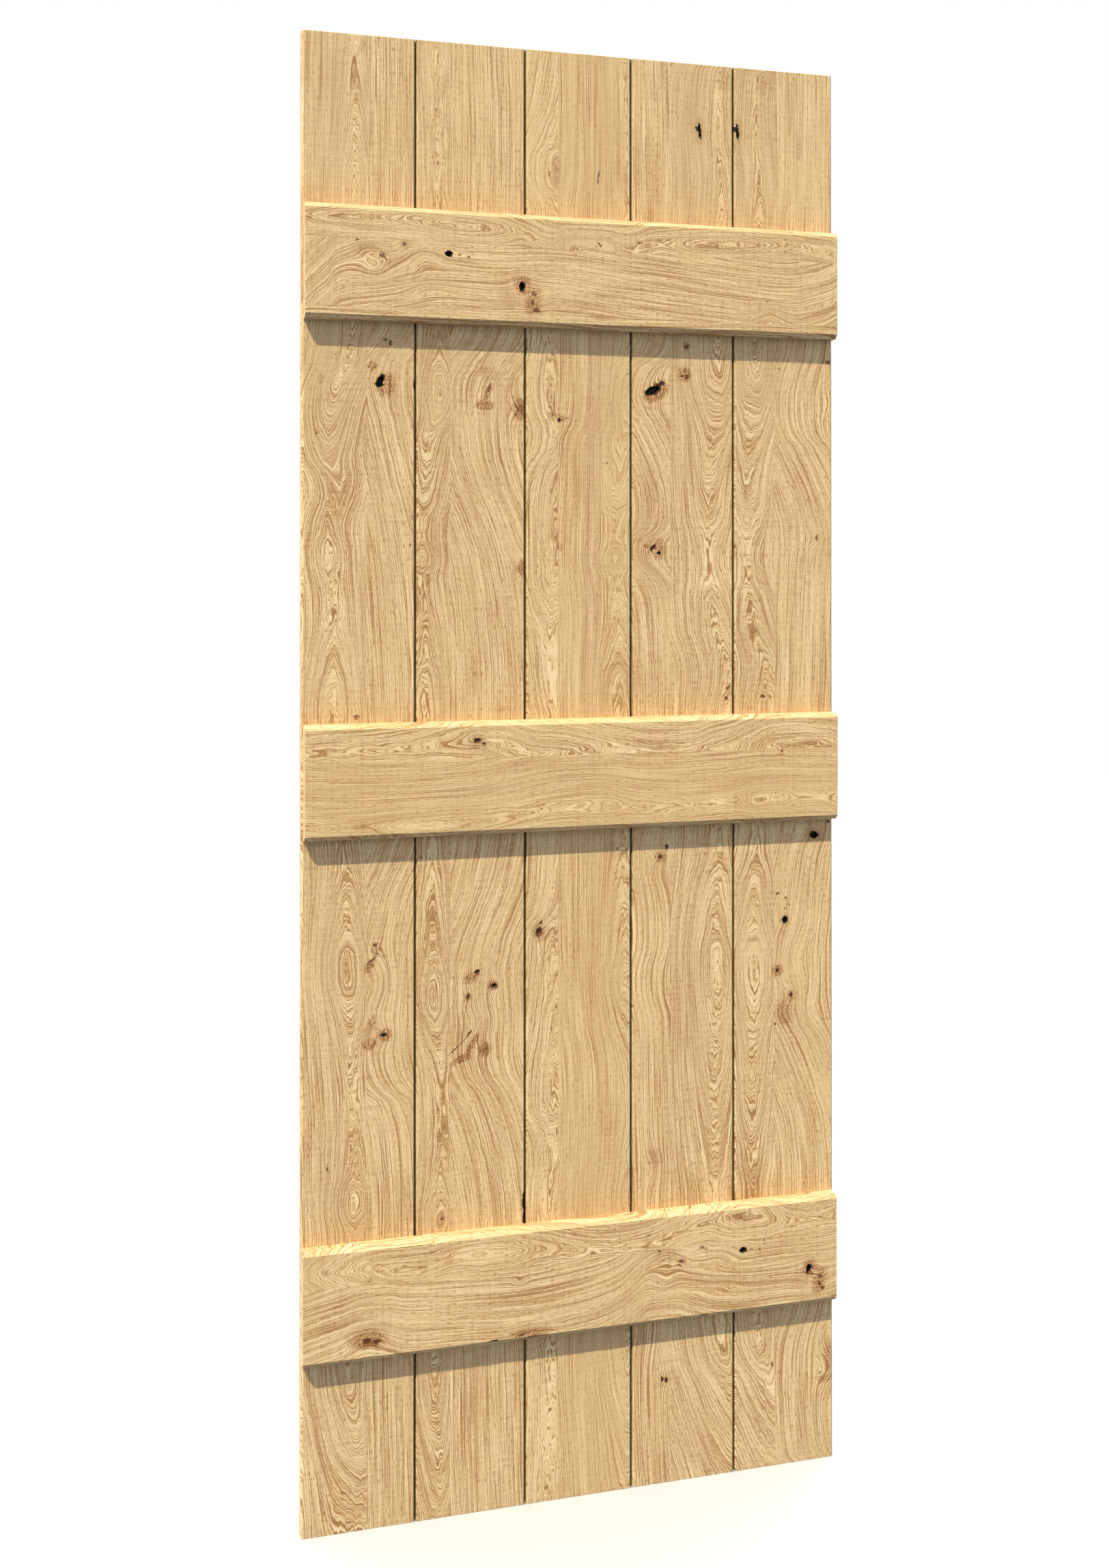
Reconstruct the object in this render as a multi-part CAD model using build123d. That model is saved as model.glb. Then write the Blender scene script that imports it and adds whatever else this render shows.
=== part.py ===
from build123d import *

import os

# A ledged plank door leaf: tongue-and-groove boards held by three bevelled ledges.
# Millimetres. +Z is up, the ledges are on the -Y side, and the origin is the middle
# of the foot of the whole leaf.

# Boards
board_count = 5
board_cover = 152.4
leaf_height = 1981.0
board_thickness = 20.0
seam_gap = 1.6
seam_chamfer = 2.0
outer_edge_chamfer = 2.5

# Tongue and groove, in the middle of the board's thickness
tongue_thickness = 6.0
tongue_reach = 8.0
tongue_tip_chamfer = 0.8
groove_cheek_clearance = 0.15
groove_end_clearance = 1.5

# Ledges
ledge_thickness = 18.0
ledge_height = 152.4
ledge_end_distance = 229.0
ledge_short_by = 2.0
ledge_bevel_depth = 6.0
ledge_bevel_height = 6.5
ledge_shoulder_radius = 3.0
ledge_arris_radius = 0.6

# Cut nails, driven through the boards into the ledges from the hidden face
nail_seam_distance = 34.0
nail_ledge_edge_distance = 38.0
nail_head_width = 4.0
nail_head_length = 7.0
nail_head_height = 2.0
nail_set_depth = 0.4
nail_shank_thickness = 2.2
nail_shank_width = 4.6
nail_tip_width = 2.4
nail_tip_cover = 4.0
nail_clearance = 0.05
nail_tip_clearance = 0.5

# Places worked out from the sizes above
leaf_width = board_count * board_cover
total_thickness = board_thickness + ledge_thickness
back_y = total_thickness / 2
front_y = back_y - board_thickness
tongue_y = back_y - board_thickness / 2
ledge_length = leaf_width - ledge_short_by
nail_tip_depth = total_thickness - nail_tip_cover

# Each ledge: its name, the height of its middle, and the edge of the leaf that it meets
ledges = [
    ("top_ledge", leaf_height - ledge_end_distance - ledge_height / 2, 1),
    ("middle_ledge", leaf_height / 2, 1),
    ("bottom_ledge", ledge_end_distance + ledge_height / 2, -1),
]


def board_left(index):
    """The seam line, or the leaf's edge, at the left of one board."""
    return index * board_cover - leaf_width / 2


def nail_places(index, ledge_middle):
    """Two nails to a crossing, staggered so that they share no line of grain."""
    rise = ledge_height / 2 - nail_ledge_edge_distance
    left = board_left(index) + nail_seam_distance
    right = board_left(index + 1) - nail_seam_distance
    return [(left, ledge_middle + rise), (right, ledge_middle - rise)]


def all_nail_places(ledge_middle):
    """Every nail place along one ledge."""
    places = []
    for index in range(board_count):
        places += nail_places(index, ledge_middle)
    return places


def hidden_face(place):
    """A frame on the hidden face: X across the boards, Z straight out of the face."""
    x, z = place
    return Plane(origin=(x, back_y, z), x_dir=(1, 0, 0), z_dir=(0, 1, 0))


# Board section

def board_body(left, right, left_chamfer, right_chamfer):
    """The plain section between a board's two long edges."""
    middle = (left + right) / 2
    section = Pos(middle, tongue_y) * Rectangle(right - left, board_thickness)
    left_corners = section.vertices().group_by(Axis.X)[0]
    section = chamfer(left_corners, left_chamfer)
    right_corners = section.vertices().group_by(Axis.X)[-1]
    return chamfer(right_corners, right_chamfer)


def tongue(shoulder):
    """The tongue that stands out to the right of a shoulder."""
    section = Pos(shoulder + tongue_reach / 2, tongue_y) * Rectangle(tongue_reach, tongue_thickness)
    return chamfer(section.vertices().group_by(Axis.X)[-1], tongue_tip_chamfer)


def groove(shoulder):
    """The groove cut into a left-hand shoulder, for the neighbour's tongue."""
    depth = tongue_reach - seam_gap + groove_end_clearance
    width = tongue_thickness + 2 * groove_cheek_clearance
    return Pos(shoulder + depth / 2, tongue_y) * Rectangle(depth, width)


def board_section(index):
    """One board's section, seen from above: groove on its left, tongue on its right."""
    is_first = index == 0
    is_last = index == board_count - 1
    left = board_left(index) + (0 if is_first else seam_gap / 2)
    right = board_left(index + 1) - (0 if is_last else seam_gap / 2)
    left_chamfer = outer_edge_chamfer if is_first else seam_chamfer
    right_chamfer = outer_edge_chamfer if is_last else seam_chamfer
    section = board_body(left, right, left_chamfer, right_chamfer)
    if not is_first:
        section -= groove(left)
    if not is_last:
        section += tongue(right)
    return section


# Nails and the seats that they press for themselves

def shank(spare, tip_depth):
    """A cut nail's shank, its two wide faces parallel and its two edges tapering."""
    top = -nail_set_depth - nail_head_height
    wide = nail_shank_width / 2 + spare
    narrow = nail_tip_width / 2 + spare
    outline = [(-wide, top), (-narrow, -tip_depth), (narrow, -tip_depth), (wide, top)]
    side = Plane.YZ * Polygon(*outline, align=None)
    return extrude(side, nail_shank_thickness / 2 + spare, both=True)


def head(spare, top):
    """A nail's flat head, or its seat, from its underside up to a given height."""
    underside = -nail_set_depth - nail_head_height
    height = top - underside
    block = Box(nail_head_width + 2 * spare, nail_head_length + 2 * spare, height)
    return Pos(0, 0, underside + height / 2) * block


def nail():
    """One nail, punched just below the hidden face."""
    return head(0, -nail_set_depth) + shank(0, nail_tip_depth)


def nail_seat():
    """The hole that one nail fills, open at the hidden face."""
    return head(nail_clearance, 0) + shank(nail_clearance, nail_tip_depth + nail_tip_clearance)


# Pieces

def make_board(index):
    """A full-height board with its nail holes."""
    board = extrude(board_section(index), leaf_height)
    for _, middle, _ in ledges:
        for place in nail_places(index, middle):
            board -= hidden_face(place) * nail_seat()
    return board


def ledge_section(middle):
    """A ledge's section: flat back, bevelled front edges with softened arrises."""
    section = Pos(front_y - ledge_thickness / 2, middle) * Rectangle(ledge_thickness, ledge_height)
    for corner in section.vertices().group_by(Axis.X)[0]:
        section = bevel_corner(section, corner, middle)
    return section


def bevel_corner(section, corner, middle):
    """Cut one front corner of a ledge's section to its bevel."""
    outward = 1 if corner.Y > middle else -1
    inner = (corner.X, corner.Y - outward * ledge_bevel_height)
    outer = (corner.X + ledge_bevel_depth, corner.Y)
    section -= Polygon((corner.X, corner.Y), inner, outer, align=None)
    arris = section.vertices().sort_by_distance((*inner, 0))[0]
    section = fillet(arris, ledge_arris_radius)
    shoulder = section.vertices().sort_by_distance((*outer, 0))[0]
    return fillet(shoulder, ledge_shoulder_radius)


def make_ledge(middle, side):
    """A ledge that meets the leaf's edge on one side and stops short on the other."""
    centre = side * ledge_short_by / 2
    start = Plane.YZ.offset(centre - ledge_length / 2)
    ledge = extrude(start * ledge_section(middle), ledge_length)
    for place in all_nail_places(middle):
        ledge -= hidden_face(place) * nail_seat()
    return ledge


def make_nails(middle):
    """The nails of one ledge, as separate solids."""
    return Compound([hidden_face(place) * nail() for place in all_nail_places(middle)])


def write(name, shape):
    """Write one piece to its own file."""
    export_step(shape, f"parts/{name}.step")
    print(name, len(shape.solids()), "solids")


def main():
    os.makedirs("parts", exist_ok=True)
    for index in range(board_count):
        write(f"board_{index + 1}", make_board(index))
    for name, middle, side in ledges:
        write(name, make_ledge(middle, side))
        write(f"{name}_nails", make_nails(middle))
    print("nail length", nail_tip_depth - nail_set_depth)


main()
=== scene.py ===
import math
from collections import namedtuple

import bpy
from mathutils import Euler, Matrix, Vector, noise


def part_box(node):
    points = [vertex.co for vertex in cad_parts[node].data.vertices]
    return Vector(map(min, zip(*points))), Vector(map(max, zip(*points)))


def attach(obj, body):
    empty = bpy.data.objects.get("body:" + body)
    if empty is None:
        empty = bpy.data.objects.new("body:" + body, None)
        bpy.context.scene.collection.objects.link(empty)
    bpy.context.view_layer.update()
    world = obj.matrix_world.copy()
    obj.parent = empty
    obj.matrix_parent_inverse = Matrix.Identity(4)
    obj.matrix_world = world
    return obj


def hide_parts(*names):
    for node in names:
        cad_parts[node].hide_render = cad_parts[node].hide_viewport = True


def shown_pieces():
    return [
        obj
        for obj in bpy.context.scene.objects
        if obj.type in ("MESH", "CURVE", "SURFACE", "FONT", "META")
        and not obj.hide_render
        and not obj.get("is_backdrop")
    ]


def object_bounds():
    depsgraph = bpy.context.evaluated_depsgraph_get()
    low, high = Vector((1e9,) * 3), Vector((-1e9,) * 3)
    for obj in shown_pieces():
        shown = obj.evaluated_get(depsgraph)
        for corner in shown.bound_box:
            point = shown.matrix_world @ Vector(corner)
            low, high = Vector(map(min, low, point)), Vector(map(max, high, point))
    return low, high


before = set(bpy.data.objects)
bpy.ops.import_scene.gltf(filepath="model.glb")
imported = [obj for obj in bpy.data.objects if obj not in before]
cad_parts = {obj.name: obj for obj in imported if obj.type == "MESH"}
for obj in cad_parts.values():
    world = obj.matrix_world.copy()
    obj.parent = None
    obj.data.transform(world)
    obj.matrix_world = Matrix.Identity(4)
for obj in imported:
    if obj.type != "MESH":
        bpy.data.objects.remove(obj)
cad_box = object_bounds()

# Lengths are in millimetres until they reach Blender, which takes metres. Angles are in degrees
MM = 0.001
X_AXIS = 0
Z_AXIS = 2

# Two CAD places count as one within this many metres
SAME_PLACE = 1e-5

# Camera, at the photograph's viewing angle. The sensor is measured along the frame's long side
CAMERA_PLACE = (-696.0, -2262.6, 1268.5)
CAMERA_TURN_RIGHT = 16.295
CAMERA_TILT_UP = 0.31
FOCAL_LENGTH = 39.50
SENSOR_SIZE = 36.0
FRAME_DROP = 0.1418

# Light: for each millimetre towards the boards, the key light goes this far right and down
KEY_RIGHT = 1.05
KEY_DOWN = 2.25
KEY_STRENGTH = 8.0
KEY_COLOUR = (1.0, 0.90, 0.66)
KEY_SPREAD = 0.9

# The fill's colours, and the directions between which it passes from one to the next
FILL_ABOVE = (1.10, 1.13, 1.12, 1)
FILL_BELOW = (0.46, 0.47, 0.46, 1)
FILL_BEHIND = (1.85, 1.78, 1.60, 1)
FILL_HEIGHTS = (-0.30, 0.60)
FILL_DEPTHS = (0.0, 0.5)
WHITE = (1, 1, 1, 1)
FLOOR_SIDE = 14000.0
FLOOR_COLOUR = (0.97, 0.965, 0.96, 1)
FLOOR_GLOW = 0.16

# Steps of the mesh along a section's sides, between its rows and over a pit with its margin
BOARD_STEP = 8.0
ROW_STEP = 14.0
FINE_STEP = 1.1
FINE_MARGIN = 1.3

# Least gaps of the mesh: at an end, from an even place to a fine one (a share of the step) and
# between any two places
END_GAP = 0.3
EVEN_GAP = 0.3
LEAST_GAP = 0.05

# Eased edges: their reach at a board's ends and at a section's corners, and there at most a share
# of each side
EASE = 0.7
CORNER_EASE = 0.45
CORNER_SHARE = 0.3
EASE_POINTS = 3
STRAIGHT_COSINE = 0.995
FLAT_SIDE = 0.01
MITRE_LIMIT = 0.5
SHARP_ANGLE = 38.0

# Unevenness of the planed face, and the normals of the shown and hidden faces
PLANE_WAVE = 0.10
PLANE_WAVE_LENGTH = 55.0
PLANE_WAVE_STRETCH = 0.4
SHOWN_NORMAL = -0.3
HIDDEN_NORMAL = 0.9

# A pit's ragged wall runs from its rim to its floor, both as shares of its reach
PIT_RIM = 1.15
PIT_FLOOR = 0.72
PIT_RAGGED = 0.14
PIT_RAGGED_SCALE = 0.45

# Nail heads, whose corners lie within a reach, and their seats
HEAD_REACH = 20.0
SEAT_DEPTH = 2.4
SEAT_GAP = 0.05
SEAT_WALL = 0.12

# Figure of the oak. A stave is a strip of wood between two glue lines, and `edge` is where it ends
# across the grain. Its rings lie round a pith, at `depth` behind the shown face. `pith` gives the
# pith's place across the grain and `rise` the shift of the rings, both by place along the grain. The
# shift fades over `rise_reach`. `tone` darkens the stave, and `contrast` strengthens its lines. A
# swell lifts the rings round a knot by `height`, and by `spread` for each millimetre across. Stains
# and darks are spots that darken the wood, pits are hollows, and `lean` slants any of them.
FAR = 1e4
Stave = namedtuple("Stave", "edge depth tone pith rise rise_reach contrast", defaults=(FAR, 1.15))
Swell = namedtuple("Swell", "across along reach_across reach_along height spread lean", defaults=(0, 0))
Spot = namedtuple("Spot", "across along reach_across reach_along strength soft lean", defaults=(0.5, 0))
Pit = namedtuple("Pit", "across along reach_across reach_along depth lean", defaults=(0,))
Figure = namedtuple("Figure", "seed staves swells stains darks pits")
Head = namedtuple("Head", "across along half_across half_along")


def make_figure(seed, staves, swells=(), stains=(), darks=(), pits=()):
    """A piece's figure. Each feature is a row of numbers in the order of its names above."""
    return Figure(seed, staves, [Swell(*row) for row in swells], [Spot(*row) for row in stains],
                  [Spot(*row) for row in darks], [Pit(*row) for row in pits])


def moved(rows, across):
    """The same features, moved across the grain."""
    return [(place + across, *rest) for place, *rest in rows]


def moved_line(line, across):
    """A stave's line, moved across the grain."""
    return {place: value + across for place, value in line.items()}


# The strip that is seen in the second board's left side and the third board's right side
BANDED_PITH = {
    0: 80, 100: 76, 200: 71, 400: 78, 540: 82, 640: 73, 700: 70, 800: 67, 880: 67, 1000: 62, 1070: 58,
    1200: 58, 1285: 53, 1360: 57, 1450: 62, 1508: 77, 1600: 76, 1981: 72,
}
BANDED_RISE = {
    0: 0, 50: 12, 100: 26, 150: 40, 200: 50, 229: 54, 300: 44, 381: 32, 402: 35, 430: 28, 470: 22, 550: 15,
    600: 19, 640: 27, 670: 37, 700: 46, 735: 36, 780: 26, 860: 16, 914: 10, 960: 16, 1000: 26, 1070: 34,
    1150: 18, 1200: 10, 1255: 5, 1272: 10, 1285: 14, 1300: 11, 1325: 9, 1360: 18, 1400: 28, 1450: 41,
    1480: 56, 1508: 66, 1540: 55, 1570: 40, 1600: 33, 1650: 28, 1800: 24, 1981: 28,
}
BANDED_REACH = 36

# The strip that is seen in the fourth board's right side and the fifth board's left side
FLAMED_PITH = {
    0: 262, 60: 244, 120: 226, 229: 206, 381: 200, 600: 200, 680: 203, 770: 201, 850: 206, 1000: 212,
    1110: 221, 1160: 212, 1200: 200, 1330: 191, 1400: 192, 1480: 200, 1560: 205, 1650: 205, 1815: 211,
    1900: 205, 1981: 214,
}
FLAMED_RISE = {
    0: -30, 60: -8, 120: 8, 229: 36, 300: 20, 381: 6, 430: 12, 490: 24, 550: 38, 610: 50, 665: 66, 700: 72,
    760: 58, 830: 38, 914: 17, 960: 22, 1000: 32, 1070: 44, 1110: 36, 1160: 27, 1230: 14, 1290: 3, 1340: 14,
    1400: 28, 1440: 40, 1480: 60, 1520: 92, 1560: 118, 1650: 128, 1752: 120, 1815: 112, 1900: 106,
    1981: 102,
}
FLAMED_REACH = 55
FLAMED_SWELLS = [
    (155, 1543, 13, 18, 8), (158, 1583, 12, 12, 8), (178, 1888, 9, 26, 5), (215, 1345, 9, 40, 5),
    (210, 1290, 9, 30, -5), (141, 1500, 5, 50, 6), (168, 1505, 5, 50, 7), (188, 1525, 5, 40, 6),
    (213, 1500, 6, 50, 7),
]

FIGURES = {}

FIGURES["board_1"] = make_figure(seed=11, staves=[
    Stave(-294, 9, 0.0, {
        0: -296, 60: -300, 150: -310, 229: -318, 381: -310, 520: -311, 640: -316, 740: -320, 850: -322,
        914: -325, 1070: -340, 1200: -338, 1320: -346, 1380: -333, 1430: -345, 1500: -338, 1560: -318,
        1650: -312, 1981: -310,
    }, {
        0: -44, 60: -22, 200: 38, 300: 46, 350: 36, 381: 32, 405: 37, 435: 50, 465: 38, 510: 31, 560: 24,
        620: 28, 670: 38, 705: 49, 740: 62, 780: 48, 830: 35, 914: 20, 960: 26, 1000: 32, 1070: 42,
        1150: 26, 1230: 12, 1255: 13, 1290: 18, 1320: 11, 1350: 9, 1380: 13, 1420: 30, 1460: 56, 1500: 80,
        1545: 96, 1650: 104, 1752: 101, 1800: 97, 1850: 86, 1900: 76, 1981: 66,
    }, rise_reach=40, contrast=1.4),
    Stave(FAR, 30, 0.0, {0: -500, 1981: -500}, {
        0: 60, 229: 56, 381: 56, 480: 52, 560: 38, 640: 0, 750: 0, 800: 6, 900: 40, 1000: 60, 1070: 60,
        1200: 54, 1300: 45, 1400: 24, 1470: 8, 1520: 0, 1560: 14, 1600: 40, 1700: 60, 1981: 60,
    }),
], swells=[
    (-277, 1522, 13, 20, -5, -0.7), (-287, 1541, 8, 10, 5), (-275, 722, 22, 34, 14),
    (-283, 765, 10, 14, -6), (-272, 652, 15, 18, 9), (-290, 664, 10, 14, 6), (-339, 1355, 5, 20, -6),
    (-337, 1270, 5, 16, -5), (-235, 1303, 10, 20, 5), (-308, 1076, 7, 9, 5),
], stains=[
    (-270, 1517, 11, 13, 0.9, 0.7), (-287, 1541, 6, 4.5, 0.9, 0.6), (-283, 766, 5, 8, 0.6, 0.6),
    (-290, 745, 5, 8, 0.8, 0.6, -0.5), (-270, 652, 8, 7, 0.9, 0.7), (-290, 664, 5, 11, 0.7, 0.7, -0.3),
    (-291, 641, 8, 7, 0.9, 0.7), (-308, 1075, 4, 3, 0.8, 0.6), (-310, 1935, 8, 30, 0.25, 0.9, 0.2),
    (-303, 1962, 4, 12, 0.4, 0.8, -0.6), (-361, 1452, 3, 3, 0.6, 0.6), (-356, 1523, 2.5, 5, 0.4, 0.7),
], darks=[
    (-276, 1522, 3.6, 7, 1, 0.2, -0.3), (-278, 1517, 5.0, 3.0, 1, 0.2), (-270, 1577, 3, 1.4, 0.6),
    (-263, 1573, 1.6, 3, 0.7), (-283, 772, 2, 2, 0.7), (-289, 751, 1.2, 5, 0.8, 0.5, -1.3),
    (-281.5, 760, 2.4, 0.8, 0.6, 0.5), (-271, 652, 3.6, 2.6, 0.95, 0.4), (-230, 1517, 1.6, 5, 1, 0.4),
    (-347, 481, 1.5, 2, 0.7), (-336, 1555, 1, 1.4, 0.5), (-235, 1303, 1.2, 2.2, 0.7),
    (-309, 1076, 1.5, 1.5, 0.7),
], pits=[(-276.5, 1520, 4.6, 7, 7, -0.3), (-271, 652, 2.6, 1.8, 2)])

FIGURES["board_2"] = make_figure(seed=23, staves=[
    Stave(-181, 9, 0.04, moved_line(BANDED_PITH, -273), BANDED_RISE, rise_reach=BANDED_REACH, contrast=1.2),
    Stave(FAR, 30, 0.0, {0: -500, 1981: -500}, {
        0: 76, 229: 70, 381: 68, 440: 62, 500: 50, 560: 28, 600: 6, 640: 0, 700: 0, 750: 8, 800: 26,
        850: 45, 914: 58, 1070: 75, 1200: 68, 1260: 60, 1330: 40, 1400: 12, 1450: 2, 1505: 0, 1540: 10,
        1600: 45, 1700: 60, 1981: 60,
    }),
], swells=[
    (-219, 1287, 9, 14, 7), (-127, 1537, 12, 16, 6), (-134, 1500, 14, 20, 3, -0.7), (-84, 1488, 12, 17, 10),
    (-80, 1275, 14, 20, 12), (-145, 725, 12, 13, 6), (-120, 708, 9, 11, 6), (-156, 694, 9, 11, 5),
    (-143, 660, 22, 20, 10), (-133, 622, 11, 12, 7), (-100, 665, 20, 60, 10), (-192, 400, 7, 10, 6),
], stains=[
    (-133, 1493, 11, 5.5, 0.9, 0.7), (-129, 1509, 3, 11, 0.9, 0.7, -0.4), (-127, 1537, 10, 9, 0.4, 0.8),
    (-84, 1489, 9, 12, 1, 0.7), (-80, 1272, 6, 10, 1, 0.8), (-152, 720, 8, 7, 0.8, 0.7, -0.6),
    (-121, 708, 7, 6, 0.8, 0.7), (-156, 694, 4, 5, 0.8, 0.7), (-152, 628, 4, 14, 1, 0.5, -0.55),
    (-164, 612, 9, 5, 1, 0.6, -0.8), (-178, 606, 3.5, 3, 0.9, 0.6), (-133, 622, 7, 8, 0.8, 0.8),
    (-192, 400, 3, 4, 0.7, 0.6), (-195, 1917, 7, 18, 0.4, 0.9, -0.35), (-203, 1860, 2, 60, 0.4, 0.9),
], darks=[
    (-128, 1516, 1.6, 6, 0.6, 0.6, -0.5), (-84, 1490, 3.4, 5, 0.45, 0.7), (-144, 727, 3.6, 2.6, 0.85),
    (-120, 707, 3.8, 3, 0.95), (-156, 694, 1.8, 3.2, 0.9), (-169, 630, 1.0, 10, 0.8, 0.5, -1.15),
    (-155.5, 644, 0.9, 6, 0.75, 0.5, -0.6), (-192, 400, 1.3, 2, 0.8), (-221, 885, 1, 1.6, 0.8),
    (-132, 622, 1.6, 2, 0.5), (-77.5, 412, 3, 11, 0.9, 0.5), (-77, 388, 2.4, 9, 0.9),
], pits=[(-120, 707, 2.6, 2.2, 2.4), (-144, 727, 2.6, 2, 2), (-77, 402, 2.4, 20, 1.4)])

FIGURES["board_3"] = make_figure(seed=37, staves=[
    Stave(-30, 12, -0.04, {
        0: -45, 229: -40, 381: -45, 470: -34, 650: -31, 760: -35, 800: -20, 914: -12, 1070: -30, 1170: -38,
        1250: -32, 1330: -27, 1450: -27, 1500: -40, 1600: -40, 1752: -28, 1815: -32, 1900: -20, 1981: -15,
    }, {
        0: 0, 229: 2, 381: 8, 465: 12, 520: 28, 560: 36, 620: 30, 700: 19, 760: 11, 850: 0, 1070: 0,
        1165: 4, 1230: 22, 1330: 38, 1420: 22, 1470: 8, 1520: 10, 1600: 5, 1752: 8, 1790: 17, 1815: 24,
        1850: 16, 1900: 8, 1981: 0,
    }, contrast=1.1),
    Stave(FAR, 24, 0.04, BANDED_PITH, BANDED_RISE, rise_reach=BANDED_REACH, contrast=0.65),
], swells=[
    (53, 1285, 8, 14, 7), (-57, 777, 11, 16, 8), (-27, 1475, 7, 8, 4), (-20, 1760, 30, 50, 10),
], stains=[
    (18, 1350, 9, 700, 0.12, 0.9), (14, 1340, 3, 500, 0.24, 0.9), (30, 1400, 2, 420, 0.2, 0.9),
    (-57, 777, 9, 12, 0.55, 0.8), (-33, 1815, 6, 20, 0.35, 0.8), (-42, 1520, 3, 14, 0.35, 0.8, -0.2),
    (-40, 1488, 4, 22, 0.35, 0.8, -0.2), (-26, 1477, 6, 5, 0.6, 0.7), (-27, 1302, 4, 5, 0.5, 0.7),
    (-34, 768, 2.5, 14, 0.35, 0.9),
], darks=[
    (-27.5, 1475, 2.4, 2.4, 0.85), (-57, 776, 4.2, 5.6, 0.8, 0.5), (-54, 789, 2, 2, 0.7),
    (28, 1812, 0.9, 8, 0.7, 0.6, -0.1), (41, 1417, 1, 1, 0.9), (36, 1417, 0.8, 0.8, 0.7),
    (-32, 503, 0.9, 5, 0.6), (55, 885, 1, 1.4, 0.7), (-17, 1479, 1.6, 1.4, 0.5), (47, 1488, 0.8, 1, 0.6),
], pits=[(-57, 776, 2.8, 4, 2), (-27.5, 1475, 1.8, 1.8, 1.5)])

FIGURES["board_4"] = make_figure(seed=41, staves=[
    Stave(134, 30, 0.0, {0: -200, 1981: -200}, {
        0: 74, 143: 68, 229: 74, 381: 74, 500: 72, 640: 70, 700: 60, 760: 70, 820: 66, 870: 58, 914: 64,
        1070: 74, 1200: 70, 1245: 60, 1270: 42, 1297: 28, 1320: 44, 1350: 58, 1375: 56, 1400: 50, 1440: 34,
        1480: 14, 1521: 0, 1560: 22, 1600: 45, 1752: 52, 1981: 50,
    }),
    Stave(FAR, 9, 0.0, FLAMED_PITH, FLAMED_RISE, rise_reach=FLAMED_REACH, contrast=1.4),
], swells=[
    (110, 1521, 18, 19, 2, -0.8, -0.6), (119, 870, 9, 11, 9), (112, 1297, 12, 14, 3, -0.6),
    (110, 440, 12, 24, 10), (125, 143, 9, 12, 4, -0.5),
] + FLAMED_SWELLS, stains=[
    (113, 1518, 13, 12, 1, 0.6, -0.6), (113, 1299, 12, 12, 0.75, 0.8), (155, 1544, 8, 9, 0.9, 0.7),
    (158, 1583, 4.5, 5, 1, 0.6), (119, 870, 7, 7, 0.8, 0.8), (178, 1888, 7, 15, 0.3, 0.8),
    (215, 1962, 8, 14, 0.35, 0.9), (129, 1925, 2.4, 46, 0.45, 0.9), (110, 452, 10, 12, 0.35, 0.9),
    (220, 1104, 3, 3, 0.7, 0.6), (217, 1089, 3, 2.6, 0.8, 0.6), (124, 143, 8, 8, 0.35, 0.8),
], darks=[
    (108, 1520, 8.6, 6.6, 1, 0.25, -0.9), (119, 1529, 5, 3.6, 0.9, 0.35, -0.9),
    (108, 1301, 2.6, 4.4, 0.85, 0.4, -0.6), (117, 1293, 2.4, 2.8, 0.95), (96, 1303, 1.2, 1.6, 0.6),
    (152, 1542, 2, 2, 0.8), (158, 1540, 2, 3, 0.8), (156, 1550, 2, 1.2, 0.5), (158, 1583, 2, 2, 0.8),
    (178, 1887, 1.7, 10, 1, 0.35, 0.12), (175.5, 1890, 3.4, 3, 1, 0.35), (119, 871, 3, 2.2, 0.85),
    (128, 883, 1.8, 3, 0.85), (121.5, 144, 1.7, 2.6, 0.9), (127, 142, 1.7, 3, 0.9),
    (217, 1089, 1.6, 1.4, 0.9), (220, 1104, 1.6, 1.4, 0.7),
], pits=[
    (108, 1520, 7.4, 5.6, 7, -0.9), (178, 1887, 1.4, 9, 5), (117, 1293, 2, 2.4, 2.4),
    (108, 1301, 2, 3.6, 2, -0.6),
])

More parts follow.
